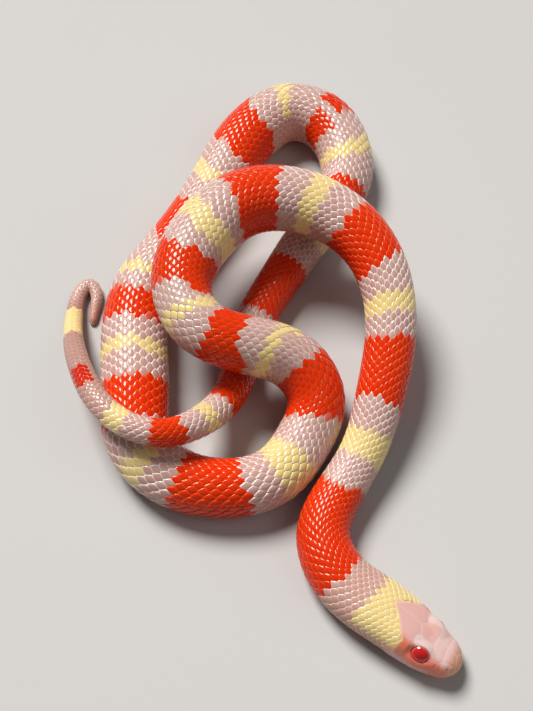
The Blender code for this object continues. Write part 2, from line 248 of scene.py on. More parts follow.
# The bands of colour, from the snout back. Each is red or yellow, with where its front and its rear lie
# at turns (degrees) from the middle of the back, left positive, and how far round it goes each way.
BANDS = [
    ("yellow", [(-60, 8.0), (-50, 7.9), (-42, 8.2), (-28, 9.0), (-14, 9.9), (0, 11.4), (12, 10.5),
                (18, 9.9), (33, 9.2), (45, 8.4), (60, 8.0)],
     [(-75, 14.7), (-45, 14.5), (-25, 14.0), (0, 13.6), (40, 13.6), (75, 14.4)], (-88, 88)),
    ("red", [(-35, 18.5), (-20, 17.8), (0, 18.0), (15, 18.8), (30, 18.1), (45, 18.8)],
     [(-60, 32.3), (0, 31.8), (72, 33.5)], (-180, 180)),
    ("yellow", [(0, 37.2)], [(0, 41.5)], (-105, 105)),
    ("red", [(-50, 46.0), (0, 46.2), (36, 45.8), (72, 45.3)],
     [(-50, 54.7), (0, 54.9), (36, 55.3), (65, 55.9), (90, 56.3)], (-180, 180)),
    ("yellow", [(-50, 58.1), (0, 58.6), (36, 58.8), (72, 59.1)],
     [(-50, 61.0), (0, 61.4), (36, 61.6), (72, 62.2)], (-105, 105)),
    ("red", [(-72, 64.5), (0, 66.2), (43, 66.7)],
     [(-108, 75.4), (-36, 73.9), (0, 74.7), (50, 74.8)], (-180, 180)),
    ("yellow", [(-50, 79.4), (0, 79.2)], [(-50, 82.8), (0, 82.5), (40, 82.3)], (-105, 105)),
    ("red", [(0, 87.0), (40, 86.0)], [(-90, 97.0), (-36, 95.4), (0, 94.2), (50, 94.0)], (-180, 180)),
    ("yellow", [(-29, 99.2), (0, 98.8), (36, 97.6)],
     [(-29, 102.9), (0, 102.3), (36, 100.7)], (-105, 105)),
    ("red", [(0, 105.4), (72, 104.5)], [(-29, 113.9), (0, 110.8), (50, 110.4)], (-180, 180)),
    ("yellow", [(-29, 114.8), (0, 114.4), (54, 113.9)],
     [(-29, 117.0), (0, 116.0), (54, 115.4)], (-105, 105)),
    ("red", [(-50, 118.6), (0, 118.1), (40, 118.6)],
     [(-43, 123.6), (0, 122.0), (36, 122.0), (72, 123.6)], (-180, 180)),
    ("yellow", [(-36, 127.0), (0, 125.9), (36, 125.0)],
     [(-36, 129.6), (0, 127.4), (36, 126.8)], (-105, 105)),
    ("red", [(-50, 132.1), (0, 131.8), (40, 130.9)],
     [(-50, 138.9), (0, 140.0), (54, 141.0)], (-180, 180)),
    ("yellow", [(0, 145.6)], [(0, 149.9)], (-105, 105)),
    ("red", [(-50, 154.0), (0, 154.6), (40, 154.4)], [(0, 163.4)], (-180, 180)),
    ("yellow", [(0, 167.0)], [(0, 169.5)], (-105, 105)),
    ("red", [(0, 173.5)], [(0, 180.5)], (-180, 180)),
    ("yellow", [(-54, 184.3), (0, 185.0), (36, 183.7)],
     [(-54, 186.5), (0, 186.8), (36, 186.0)], (-105, 105)),
    ("red", [(-54, 191.0), (0, 190.3)], [(0, 195.4)], (-180, 180)),
    ("yellow", [(0, 198.0)], [(0, 200.0)], (-105, 105)),
    ("red", [(-50, 207.5), (-18, 204.5)], [(-50, 214.6), (-18, 213.6)], (-180, 180)),
    ("yellow", [(-54, 221.0), (-18, 218.2)], [(-54, 224.0), (-18, 221.0)], (-105, 105)),
    ("red", [(-54, 229.0), (-18, 227.0), (0, 226.0), (36, 225.0)],
     [(-54, 237.4), (-18, 235.7), (0, 235.0), (72, 234.0)], (-180, 180)),
    ("yellow", [(0, 240.7), (36, 238.5)], [(-36, 243.2), (0, 242.3), (36, 241.6)], (-105, 52)),
    ("red", [(0, 247.4)], [(0, 251.0)], (-61, -7)),
    ("red", [(0, 248.6)], [(0, 253.5)], (18, 95)),
    ("yellow", [(-54, 255.2), (0, 257.4), (36, 257.7)],
     [(-54, 258.3), (0, 259.9), (36, 260.5)], (-105, 105)),
    ("red", [(0, 264.4)], [(0, 272.0)], (-180, 180)),
    ("yellow", [(0, 274.5)], [(0, 277.3)], (-105, 105)),
    ("red", [(0, 281.8)], [(0, 292.4)], (-180, 180)),
    ("yellow", [(0, 295.5)], [(0, 297.8)], (-105, 105)),
    ("red", [(0, 301.5)], [(0, 310.7)], (-180, 180)),
    ("yellow", [(0, 313.3)], [(0, 315.3)], (-105, 105)),
    ("red", [(0, 318.1)], [(0, 322.2)], (-180, 180)),
    ("yellow", [(0, 325.6)], [(0, 328.4)], (-110, 110)),
    ("red", [(0, 333.4)], [(0, 337.5)], (-54, 47)),
    ("yellow", [(0, 346.3)], [(0, 352.5)], (-130, 130))]
BELLY_BLEND = 40.0
SIDE_SLANT = 0.07


def marking(along, turn, softness):
    """Shares of red and of yellow: how deep a place lies in a band, over the softness of its edge.

    Fronts and rears are read between the turns that are given. Under the belly, the last value on the
    right passes to the last on the left. A degree from a band's side counts as a slant's part of a mm.
    """
    shares = {"red": np.zeros(len(along)), "yellow": np.zeros(len(along))}
    for colour, front, rear, (first, last) in BANDS:
        edges = []
        for edge in (front, rear):
            turns, places = np.array(edge, dtype=float).T
            joined = np.mean([places[0], places[-1]])
            turns = np.concatenate([[-180.0, -180.0 + BELLY_BLEND], turns, [180.0 - BELLY_BLEND, 180.0]])
            places = np.concatenate([[joined, places[0]], places, [places[-1], joined]])
            edges.append(np.interp(turn, turns, places))
        depth = np.minimum(along - edges[0], edges[1] - along)
        if last - first < 360:
            depth = np.minimum(depth, np.minimum(turn - first, last - turn) * SIDE_SLANT)
        shares[colour] = np.maximum(shares[colour], np.clip(0.5 + depth / softness, 0, 1))
    return shares["red"], shares["yellow"]


# The head's shields, lips, nostrils and eye rims. A shield's seam is a broken line in the plane of how far
# back a place is and how far round it is from the middle of the back, or of the throat for the chin.
SKIN_INSET = 0.13
THIN_TAIL = 1.2
TRUNK_START = 20.0
COAT_FADE = 0.35
COAT_FRONT = [
    (0.0, 11.4), (0.9, 10.65), (1.55, 9.95), (2.5, 9.05), (3.1, 8.3), (3.6, 8.0), (4.1, 8.1), (5.3, 8.8),
    (6.6, 9.5), (7.2, 8.6), (8.5, 7.4), (14.0, 7.0)]
SHIELD_SEAMS = [
    [(0.25, 1.75), (0.42, 1.5), (0.7, 1.0), (1.15, 0.0), (4.2, 0.0)],
    [(0.6, 1.25), (1.2, 1.7), (2.35, 2.0)],
    [(2.55, 0.0), (2.5, 1.0), (2.35, 2.0), (2.65, 2.65), (3.45, 2.8), (3.8, 2.3)],
    [(4.2, 0.0), (4.25, 0.9), (3.95, 1.6), (3.8, 2.3)],
    [(4.25, 0.9), (4.7, 1.2), (5.6, 1.22), (6.6, 1.2), (7.4, 0.0), (11.4, 0.0)],
    [(6.6, 1.2), (7.15, 1.85), (6.85, 2.35), (7.5, 2.75), (8.3, 2.85), (9.0, 2.5), (9.9, 1.55),
     (10.6, 0.9), (11.4, 0.1)],
    [(2.35, 2.0), (2.3, 3.0), (2.25, 3.75)],
    [(1.3, 1.75), (1.35, 2.5), (1.3, 3.0)],
    [(2.65, 2.65), (2.9, 3.4), (3.0, 4.2)],
    [(3.45, 2.8), (3.5, 3.5), (3.4, 4.4)],
    [(6.85, 2.35), (6.95, 3.4), (6.75, 4.4), (6.6, 5.2)],
    [(6.15, 3.5), (6.95, 3.4)],
    [(6.88, 4.1), (8.0, 3.95)]]
MOUTH_LINE = np.array([(-1.0, -0.42), (1.0, -0.46), (3.5, -0.86), (6.5, -1.02), (9.2, -0.62)])
MOUTH_END = 9.2
JAW_MARGIN = 0.2
LIP_TOP = [
    (0.3, 0.45), (1.0, 0.7), (2.3, 1.0), (3.6, 1.2), (4.9, 1.35), (6.2, 1.3), (7.5, 1.25), (9.3, 0.9)]
SIDE_SEAM_LEAN = 0.2
LIP_SEAMS = [0.95, 1.95, 3.0, 4.15, 5.4, 6.75, 8.1]
CHIN_DROP = 0.75
CHIN_SEAMS = [0.8, 1.6, 2.5, 3.5, 4.6, 5.8, 7.1, 8.4]
CHIN_SHIELDS = [[(0.6, 0.0), (6.8, 0.0)], [(0.6, 0.0), (1.3, 0.9), (3.9, 1.15), (6.4, 1.0), (6.8, 0.0)],
                [(3.8, 0.0), (3.95, 1.15)]]
NOSTRIL = (1.34, 2.45)
SEAMLESS_EYE = (3.7, 6.1)
SEAMLESS_SNOUT = 0.4
FAR = 9.0
SHIELD_RISE = 0.01
SEAM_GROOVES = [(0.018, 0.07), (0.022, 0.24)]
SEAM_SHADE = 0.1
MOUTH_GROOVE = (0.1, 0.075)
NOSTRIL_PIT = (0.13, 0.15)
EYE_ALONG = 5.04
EYE_OUTWARD = 2.83
EYE_HEIGHT = 1.46
EYE_LEAN = 30.0
EYE_AHEAD = 11.0
EYE_RADIUS = 1.3
EYE_STRETCH = 1.11
BROW_CUT = 0.14
LID_HEIGHT = 0.15
BROW_HEIGHT = 0.22
LID_CORNER = 0.15
LID_EDGE = (0.98, 1.14)
LID_SPREAD = (1.05, 1.85)
BROW_SPREAD = 0.85
BOWL_DEPTH = 0.3
EYE_ZONE = 2.75
EYE_ZONE_DEPTH = -1.5


def nearest_seam(along, reach, seams):
    """Distance to the nearest of some broken lines, in the plane of along and reach."""
    nearest = np.full(len(along), FAR)
    for line in seams:
        for (a, b), (c, d) in zip(line, line[1:]):
            run, rise = c - a, d - b
            share = np.clip(((along - a) * run + (reach - b) * rise) / (run ** 2 + rise ** 2), 0, 1)
            nearest = np.minimum(nearest, np.hypot(along - a - run * share, reach - b - rise * share))
    return nearest


def ease(value, start, end):
    """0 before the start, 1 after the end, 3t^2 - 2t^3 between."""
    share = np.clip((value - start) / (end - start), 0, 1)
    return share * share * (3 - 2 * share)


def window(value, start, full, fade, end):
    """0 outside start and end, 1 from full to fade, and eased over between them."""
    return ease(value, start, full) * (1 - ease(value, fade, end))


def eye_frame(side):
    """Middle of the eye, and unit vectors back along its rim, up its rim and straight out of it."""
    here = np.array([EYE_ALONG])
    back, left, up = (vector[0] for vector in directions(here))
    centre = middle_line(here)[0] + left * side * EYE_OUTWARD + up * EYE_HEIGHT
    lean, ahead = math.radians(EYE_LEAN), math.radians(EYE_AHEAD)
    level = left * side * math.cos(ahead) - back * math.sin(ahead)
    out = level * math.cos(lean) + up * math.sin(lean)
    along_rim = back * math.cos(ahead) + left * side * math.sin(ahead)
    return centre, along_rim, np.cross(out, along_rim), out


def head_relief(along, girth):
    """How far the skin stands off the outline, and how strongly a seam shows.

    Each seam is a narrow groove in a wide shallow one, each a bell curve of the distance to it. The mouth
    and lips go by height above the middle line. The nostril is a pit. Where the scales begin, the skin
    goes down by the inset.
    """
    reach = np.abs(girth) * half_round(along)
    _, height = ring_offsets(along, turn_at(along, girth))
    mouth = natural_spline(MOUTH_LINE[:, 0], MOUTH_LINE[:, 1], np.clip(along, -1, MOUTH_END))
    above = height - mouth
    seam = nearest_seam(along, reach, SHIELD_SEAMS)
    lip = np.interp(along, *np.array(LIP_TOP).T)
    in_jaw = along < MOUTH_END + JAW_MARGIN
    over_eye = (along > SEAMLESS_EYE[0]) & (along < SEAMLESS_EYE[1])
    lipped = in_jaw & ~over_eye & (along > SEAMLESS_SNOUT)
    seam = np.minimum(seam, np.where(lipped, np.abs(above - lip), FAR))
    on_lip = (above > 0) & (above < lip) & in_jaw
    for place in LIP_SEAMS:
        seam = np.minimum(seam, np.where(on_lip, np.abs(along - place - SIDE_SEAM_LEAN * above), FAR))
    seam = np.minimum(seam, np.where(in_jaw, np.abs(above + CHIN_DROP), FAR))
    on_jaw = (above < 0) & (above > -CHIN_DROP) & in_jaw
    for place in CHIN_SEAMS:
        seam = np.minimum(seam, np.where(on_jaw, np.abs(along - place + SIDE_SEAM_LEAN * above), FAR))
    chin_seam = nearest_seam(along, half_round(along) - reach, CHIN_SHIELDS)
    seam = np.where(above > -CHIN_DROP, seam, np.minimum(seam, chin_seam))
    front = np.interp(reach, *np.array(COAT_FRONT).T)
    bare = 1 - ease(along, front, front + COAT_FADE)
    groove = sum(deep * np.exp(-(seam / wide) ** 2) for deep, wide in SEAM_GROOVES)
    gape = np.where(in_jaw, np.exp(-(above / MOUTH_GROOVE[1]) ** 2), 0)
    from_nostril = np.hypot(along - NOSTRIL[0], reach - NOSTRIL[1])
    nostril = np.exp(-(from_nostril / NOSTRIL_PIT[1]) ** 2)
    relief = bare * (SHIELD_RISE - groove - MOUTH_GROOVE[0] * gape - NOSTRIL_PIT[0] * nostril)
    slim = np.clip(half_width(along) / THIN_TAIL, 0, 1)
    inset = SKIN_INSET * (1 - bare) * np.where(along > TRUNK_START, slim, 1)
    shade = bare * np.maximum(np.exp(-(seam / SEAM_SHADE) ** 2), gape)
    return relief - inset, shade, bare * nostril


def round_the_eye(points, side):
    """How far places are from the eye's middle on its rim's plane, how much above it, and how far out.

    The distance is shorter along the rim, as the opening is wider than tall, and a little longer above.
    """
    centre, along_rim, up_rim, out = eye_frame(side)
    away = points - centre
    distance = np.hypot(away @ along_rim / EYE_STRETCH, away @ up_rim)
    upper = np.clip(away @ up_rim / np.maximum(distance, 0.01), 0, 1)
    return distance + BROW_CUT * upper ** 2, upper, away @ out


def seat_eyes(points):
    """Sinks the skin to a bowl under each eye and brings it to a thin rim round the eye's edge.

    The rim lies low before, behind and below the eye, and higher above it as a brow, most at the rear
    corner. From the rim the skin eases over to the head's own shape.
    """
    for side in (1, -1):
        distance, upper, height = round_the_eye(points, side)
        centre, along_rim, _, out = eye_frame(side)
        behind = np.clip((points - centre) @ along_rim / np.maximum(distance, 0.01), 0, 1)
        lid = LID_HEIGHT + BROW_HEIGHT * upper + LID_CORNER * upper * behind
        spread = ease(distance, LID_SPREAD[0], LID_SPREAD[1] + BROW_SPREAD * upper)
        edge = lid + (height - lid) * spread
        wanted = (edge + BOWL_DEPTH) * ease(distance, *LID_EDGE) - BOWL_DEPTH
        near = (distance < EYE_ZONE) & (height > EYE_ZONE_DEPTH)
        points = points + out * np.where(near, wanted - height, 0)[:, None]
    return points


def make_piece(name, points, corners, sizes, values, material, patches=None):
    """A mesh from arrays: places in mm, the corners of all faces in a row, and how many each face has.

    Values are kept as attributes, one number for each point, and patches as the UV map for baking.
    """
    mesh = bpy.data.meshes.new(name)
    mesh.vertices.add(len(points))
    mesh.vertices.foreach_set("co", (points * MM).astype(np.float32).ravel())
    mesh.loops.add(len(corners))
    mesh.loops.foreach_set("vertex_index", corners.astype(np.int32))
    mesh.polygons.add(len(sizes))
    mesh.polygons.foreach_set("loop_start", np.concatenate([[0], np.cumsum(sizes)[:-1]]).astype(np.int32))
    for label, numbers in values.items():
        mesh.attributes.new(label, "FLOAT", "POINT").data.foreach_set("value", numbers.astype(np.float32))
    if patches is not None:
        mesh.uv_layers.new(name="OFBake").data.foreach_set("uv", patches.astype(np.float32).ravel())
    mesh.update(calc_edges=True)
    mesh.validate()
    mesh.shade_smooth()
    mesh.materials.append(material)
    piece = bpy.data.objects.new(name, mesh)
    bpy.context.scene.collection.objects.link(piece)
    return piece


class Wire:
    """A shader socket for writing sums with: arithmetic on it adds the Math nodes it needs."""

    def __init__(self, tree, socket=None):
        self.tree = tree
        self.socket = socket

    def node(self, kind, settings, inputs, outlet=0):
        """Any node: its settings are set first, then each socket gets its value or its link."""
        made = self.tree.nodes.new(kind)
        for label, value in settings.items():
            setattr(made, label, value)
        for label, value in inputs.items():
            if isinstance(value, Wire):
                self.tree.links.new(value.socket, made.inputs[label])
            else:
                made.inputs[label].default_value = value
        return Wire(self.tree, made.outputs[outlet])

    def math(self, operation, *values):
        """A Math node's result for the values in order."""
        return self.node("ShaderNodeMath", {"operation": operation}, dict(enumerate(values)))

    def blend(self, first, second):
        """From the first colour to the second as this goes from 0 to 1."""
        return self.node("ShaderNodeMix", {"data_type": "RGBA"}, {0: self, 6: first, 7: second}, 2)

    def attribute(self, label):
        """What a piece keeps under the label."""
        return self.node("ShaderNodeAttribute", {"attribute_name": label}, {}, 2)

    def __add__(self, other):
        return self.math("ADD", self, other)

    __radd__ = __add__

    def __sub__(self, other):
        return self.math("SUBTRACT", self, other)

    def __rsub__(self, other):
        return self.math("SUBTRACT", other, self)

    def __mul__(self, other):
        return self.math("MULTIPLY", self, other)

    __rmul__ = __mul__


def new_material(name):
    """A Principled material, its own sockets as Python sees them, and a wire to write its maths with."""
    material = bpy.data.materials.new(name)
    material.use_nodes = True
    shader = material.node_tree.nodes["Principled BSDF"]
    return material, shader.inputs, Wire(material.node_tree)


def feed(wire, socket):
    """Links a wire to one of the shader's sockets."""
    wire.tree.links.new(wire.socket, socket)


def grain(wire, size, detail):
    """Cloudy noise on object coordinates, its patches about the given size in mm across."""
    place = wire.node("ShaderNodeTexCoord", {}, {}, "Object")
    values = {"Vector": place, "Scale": 1 / (size * MM), "Detail": detail}
    return wire.node("ShaderNodeTexNoise", {}, values)


SKIN_PINK = (0.88, 0.72, 0.66, 1.0)
SKIN_RED = (0.80, 0.05, 0.004, 1.0)
SKIN_YELLOW = (0.86, 0.66, 0.28, 1.0)
HEAD_PINK = (0.76, 0.44, 0.40, 1.0)
SHIELD_WHITE = (0.76, 0.585, 0.55, 1.0)
SNOUT_TAN = (0.66, 0.27, 0.085, 1.0)
# The cheek flush colour is partly the head's own red-brown and partly painted shade on the sides that face
# away from the light.
CHEEK_FLUSH_AND_SHADE = (0.78, 0.17, 0.085, 1.0)
SEAM_PINK = (0.88, 0.62, 0.57, 1.0)
LID_RED = (0.60, 0.09, 0.07, 1.0)
CLOUD_PINK = (0.85, 0.62, 0.58, 1.0)
MOTTLE_BROWN = (0.55, 0.25, 0.2, 1.0)

skin_material, sockets, wire = new_material("soft_skin")
cloud = grain(wire, 1.6, 3.0)
mottle = grain(wire, 0.35, 2.0)
body_colour = wire.attribute("red_share").blend(SKIN_PINK, SKIN_RED)
# The flush share mixes the head's own flush with painted shade on its lower sides and in the nostril pits.
flush_and_shade = wire.attribute("flush_and_shade")
head_colour = flush_and_shade.blend(HEAD_PINK, CHEEK_FLUSH_AND_SHADE)
head_colour = wire.attribute("pale").blend(head_colour, SHIELD_WHITE)
head_colour = wire.attribute("tan").blend(head_colour, SNOUT_TAN)
head_colour = (0.4 * wire.attribute("seam") * (1 - flush_and_shade)).blend(head_colour, SEAM_PINK)
head_colour = (0.8 * wire.attribute("lid")).blend(head_colour, LID_RED)
colour = wire.attribute("head_share").blend(body_colour, head_colour)
colour = wire.attribute("yellow_share").blend(colour, SKIN_YELLOW)
colour = (0.15 * cloud).blend(colour, CLOUD_PINK)
colour = (0.1 * mottle).blend(colour, MOTTLE_BROWN)
feed(colour, sockets["Base Color"])
feed(0.22 + 0.14 * mottle, sockets["Roughness"])
sockets["Specular IOR Level"].default_value = 0.4
sockets["Subsurface Weight"].default_value = 0.15
sockets["Subsurface Radius"].default_value = (1.0, 0.4, 0.3)
sockets["Subsurface Scale"].default_value = 0.5 * MM
sockets["Coat Weight"].default_value = 0.25
sockets["Coat Roughness"].default_value = 0.12
bump = wire.node("ShaderNodeBump", {}, {"Strength": 0.12, "Distance": 0.00004, "Height": mottle})
feed(bump, sockets["Normal"])

HEAD_SIDES = 256
HEAD_STEP = 0.075
HEAD_END = 13.0
NECK_END = 17.0
NECK_STEP = 0.3
BODY_STEP = 0.8
SNOUT_RINGS = 46
TIP_RINGS = 9
SNOUT_TURNS = (0.03, math.pi / 2)
TIP_TURNS = (0.2, 1.45)
SOCKET_END = 9.0
ring_places = np.concatenate([
    SNOUT_ROUNDING * (1 - np.cos(np.linspace(*SNOUT_TURNS, SNOUT_RINGS))),
    np.linspace(SNOUT_ROUNDING, HEAD_END, int((HEAD_END - SNOUT_ROUNDING) / HEAD_STEP))[1:],
    np.linspace(HEAD_END, NECK_END, int((NECK_END - HEAD_END) / NECK_STEP))[1:],
    np.linspace(NECK_END, TOTAL - TIP_ROUNDING, int((TOTAL - NECK_END) / BODY_STEP))[1:],
    TOTAL - TIP_ROUNDING * (1 - np.sin(np.linspace(*TIP_TURNS, TIP_RINGS)))])
ring_sides = np.where(ring_places <= HEAD_END, HEAD_SIDES,
                      np.where(ring_places <= NECK_END, HEAD_SIDES // 2, HEAD_SIDES // 4))
ring_starts = np.concatenate([[0], np.cumsum(ring_sides)])
along = np.repeat(ring_places, ring_sides)
girth = np.concatenate([np.arange(sides) * 2 / sides for sides in ring_sides])
girth = np.where(girth > 1, girth - 2, girth)
relief, seam, nostril = head_relief(along, girth)
points = bare_point(along, girth) + outward(along, girth) * relief[:, None]
on_head = along < SOCKET_END
points[on_head] = seat_eyes(points[on_head])
points = settle(np.vstack([points, middle_line(np.array([0.0, TOTAL]))]))

corners, sizes = [], []
for k in range(len(ring_places) - 1):
    here, there, sides, next_sides = ring_starts[k], ring_starts[k + 1], ring_sides[k], ring_sides[k + 1]
    n = np.arange(next_sides)
    m = (n + 1) % next_sides
    if sides == next_sides:
        corners.append(np.column_stack([here + n, here + m, there + m, there + n]).ravel())
        sizes.append(np.full(next_sides, 4))
    else:
        last = (2 * n + 2) % sides
        corners.append(np.column_stack(
            [here + 2 * n, here + 2 * n + 1, here + last, there + m, there + n]).ravel())
        sizes.append(np.full(next_sides, 5))
n = np.arange(HEAD_SIDES)
corners.append(np.column_stack([np.full(HEAD_SIDES, len(points) - 2), (n + 1) % HEAD_SIDES, n]).ravel())
sizes.append(np.full(HEAD_SIDES, 3))
n = np.arange(ring_sides[-1])
corners.append(np.column_stack([ring_starts[-2] + n, ring_starts[-2] + (n + 1) % len(n),
                                np.full(len(n), len(points) - 1)]).ravel())
sizes.append(np.full(len(n), 3))

# The head's colours: pale brows and top of the snout, a tan tip, reddish eye rims, and a red-brown flush on
# the cheeks and nostrils that is partly their own colour and partly painted shade. Behind the head the
# bands take over.
MARK_SOFTNESS = 0.35
HEAD_FADE = (11.0, 13.0)
BROW_REACH = (1.1, 1.35)
BROW_ALONG = (3.7, 4.3, 6.8, 7.2)
BROW_SIDE = 2.45
BROW_BULGE = 0.8
BULGE_ALONG = (3.4, 4.2, 6.0, 6.8)
BROW_FADE = 0.3
SNOUT_PALENESS = 0.6
SNOUT_ALONG = (1.2, 2.0, 3.9, 4.9)
SNOUT_REACH = (2.0, 2.8)
TAN_ALONG = (0.2, 2.3)
CHEEK_DROP = 0.3
CHEEK_DROP_ALONG = (3.0, 4.0)
# Where the flush lies: low on the head's sides and round the nostrils, where it is partly painted shade.
FLUSH_AND_SHADE_TOP = (2.0, 3.3)
FLUSH_AND_SHADE_FOOT = (4.6, 6.4)
FLUSH_AND_SHADE_WIDENING = 0.1
FLUSH_AND_SHADE_FADE = (9.0, 13.0)
NOSTRIL_FLUSH_AND_SHADE = 0.6
LID_TINT = (1.05, 1.35)
LID_TINT_DEPTH = -0.6
along = np.append(along, [0.0, TOTAL])
girth = np.append(girth, [0.0, 0.0])
seam, nostril = np.append(seam, [0, 0]), np.append(nostril, [0, 0])
turn = np.degrees(turn_at(along, girth))
reach = np.abs(girth) * half_round(along)
red, yellow = marking(along, turn, MARK_SOFTNESS)
brow_side = BROW_SIDE + BROW_BULGE * window(along, *BULGE_ALONG)
pale_brow = ease(reach, *BROW_REACH) * (1 - ease(reach - brow_side, 0.0, BROW_FADE))
pale_brow = pale_brow * window(along, *BROW_ALONG)
pale_snout = SNOUT_PALENESS * window(along, *SNOUT_ALONG) * (1 - ease(reach, *SNOUT_REACH))
tan = 1 - ease(along, *TAN_ALONG)
drop = CHEEK_DROP * ease(along, *CHEEK_DROP_ALONG)
# The flush, partly own colour and partly painted shade: low on the sides, and added in the nostril pits
# below.
flush_and_shade = ease(reach, FLUSH_AND_SHADE_TOP[0] + drop, FLUSH_AND_SHADE_TOP[1] + drop)
flush_and_shade = flush_and_shade * (1 - ease(reach, FLUSH_AND_SHADE_FOOT[0] + FLUSH_AND_SHADE_WIDENING * along, FLUSH_AND_SHADE_FOOT[1]))
flush_and_shade = flush_and_shade * (1 - ease(along, *FLUSH_AND_SHADE_FADE))
lid = np.zeros(len(points))
for side in (1, -1):
    distance, _, height = round_the_eye(points, side)
    lid = np.maximum(lid, (1 - ease(distance, *LID_TINT)) * (height > LID_TINT_DEPTH))
skin = make_piece(
    "skin", points, np.concatenate(corners), np.concatenate(sizes),
    {"red_share": red, "yellow_share": yellow, "head_share": 1 - ease(along, *HEAD_FADE),
     "pale": np.maximum(pale_brow, pale_snout), "tan": tan,
     "flush_and_shade": np.maximum(flush_and_shade, NOSTRIL_FLUSH_AND_SHADE * nostril), "seam": seam, "lid": lid}, skin_material)
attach(skin, "root")
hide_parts("head", "lower_jaw", "neck", "trunk_01", "trunk_02", "trunk_03", "trunk_04", "trunk_05",
            "trunk_06", "trunk_07", "trunk_08", "trunk_09", "trunk_10", "trunk_11", "tail_base",
            "tail_middle", "tail_tip")

# The eyes: clear hard domes without lids, ruby red with a slightly darker round pupil. Each is a shallow
# cap over a deeper bowl that stays inside the skin, and is turned as the model's own eye is.
EYE_SEGMENTS = 64
EYE_RINGS = 33
EYE_CURVE = 1.48
EYE_SINK = 0.15
EYE_DEPTH = 0.7
PUPIL_EDGE = (0.3, 0.52)
RIM_TINT = (0.9, 1.15)
IRIS_RED = (0.52, 0.009, 0.014, 1.0)
PUPIL_RED = (0.42, 0.006, 0.009, 1.0)
EYE_EDGE = (0.74, 0.13, 0.11, 1.0)
RAY_RED = (0.55, 0.05, 0.03, 1.0)

eye_material, sockets, wire = new_material("ruby_eye")
iris = wire.attribute("iris").blend(PUPIL_RED, IRIS_RED)
rays = grain(wire, 0.12, 3.0)
iris = (0.25 * rays).blend(iris, RAY_RED)
feed(wire.attribute("edge").blend(iris, EYE_EDGE), sockets["Base Color"])
feed(0.05 + 0.05 * rays, sockets["Roughness"])
sockets["Coat Weight"].default_value = 0.4
sockets["Coat Roughness"].default_value = 0.02

for side, label in ((1, "left"), (-1, "right")):
    centre, along_rim, up_rim, out = eye_frame(side)
    dip = np.repeat(np.linspace(0, math.pi, EYE_RINGS)[1:-1], EYE_SEGMENTS)
    swing = np.tile(np.arange(EYE_SEGMENTS) * 2 * math.pi / EYE_SEGMENTS, EYE_RINGS - 2)
    rim = np.append(np.sin(dip), [0.0, 0.0]) * EYE_RADIUS
    swing = np.append(swing, [0.0, 0.0])
    height = np.append(np.cos(dip), [1.0, -1.0])
    dome = np.sqrt(EYE_CURVE ** 2 - rim ** 2) - math.sqrt(EYE_CURVE ** 2 - EYE_RADIUS ** 2)
    height = np.where(height > 0, dome, height * EYE_DEPTH) - EYE_SINK
    points = centre + along_rim * (rim * np.cos(swing))[:, None]
    points = points + up_rim * (rim * np.sin(swing))[:, None] + out * height[:, None]
    k, n = np.meshgrid(np.arange(EYE_RINGS - 3), np.arange(EYE_SEGMENTS), indexing="ij")
    m = (n + 1) % EYE_SEGMENTS
    quads = np.stack([k * EYE_SEGMENTS + n, (k + 1) * EYE_SEGMENTS + n, (k + 1) * EYE_SEGMENTS + m,
                      k * EYE_SEGMENTS + m], axis=-1).ravel()
    n = np.arange(EYE_SEGMENTS)
    m = (n + 1) % EYE_SEGMENTS
    foot = (EYE_RINGS - 3) * EYE_SEGMENTS
    cap = np.column_stack([n, m, np.full(EYE_SEGMENTS, len(points) - 2)]).ravel()
    base = np.column_stack([foot + m, foot + n, np.full(EYE_SEGMENTS, len(points) - 1)]).ravel()
    counts = np.concatenate([np.full((EYE_RINGS - 3) * EYE_SEGMENTS, 4), np.full(2 * EYE_SEGMENTS, 3)])
    eye = make_piece(
        "clear_eye_" + label, points, np.concatenate([quads, cap, base]), counts,
        {"iris": ease(rim, *PUPIL_EDGE), "edge": ease(rim, *RIM_TINT)}, eye_material)
    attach(eye, "root")
    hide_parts("eye_" + label)

# The scales of the back and sides: smooth, glossy leaf shapes in slanting rows, each rooted in the skin
# and lapping the one behind. A scale's colour is that of the band its middle lies in, so the edges of
# the bands step from scale to scale.
PITCHES = [
    (8.0, 0.78), (12.0, 0.84), (16.0, 0.96), (21.0, 1.12), (30.0, 1.22), (48.0, 1.28), (75.0, 1.42),
    (98.0, 1.34), (106.0, 1.25), (113.0, 1.14), (126.0, 1.14), (136.0, 1.3), (150.0, 1.45),
    (200.0, 1.5), (250.0, 1.54), (275.0, 1.42), (300.0, 1.2), (330.0, 0.98), (350.0, 0.86), (366.0, 0.7)]
ROW_REACH = 0.69
ROW_BLOCKS = [
    (8.0, 286.0, 21), (286.0, 306.0, 17), (306.0, 325.0, 13), (325.0, 347.0, 9), (347.0, 366.2, 7)]
NECK_CROWDING = 0.715
BACK_CROWDING = 0.88
SCALE_LENGTH = 1.28
SCALE_BREADTH = 1.7
SCALE_ROOT = -0.13
SCALE_TIP = -0.04
SCALE_CROWN = 0.085
SCALE_EDGE = 0.03
LEAST_BREADTH = 0.12
FULL_PITCH = 1.3
STRETCH_STEP = 0.3
STRETCH_LIMITS = (0.85, 1.4)
STRETCH_POWER = 0.7
BAND_JOLT = 0.25
RED_SOFTNESS = 0.04
YELLOW_SOFTNESS = 0.3
# The warm share: painted shade that makes the flanks and stretches of the tail darker and warmer, and on
# the neck a warmer colour of the scales' own.
TAIL_WARMTH_AND_SHADE = [(318.0, 335.0, 0.5), (352.0, 356.0, -0.3), (361.0, 365.0, 0.9)]
WARM_NECK = 0.35
WARM_NECK_FADE = (18.0, 34.0)
SIDE_SHADE = 0.6
SIDE_SHADE_TURN = (45.0, 105.0)
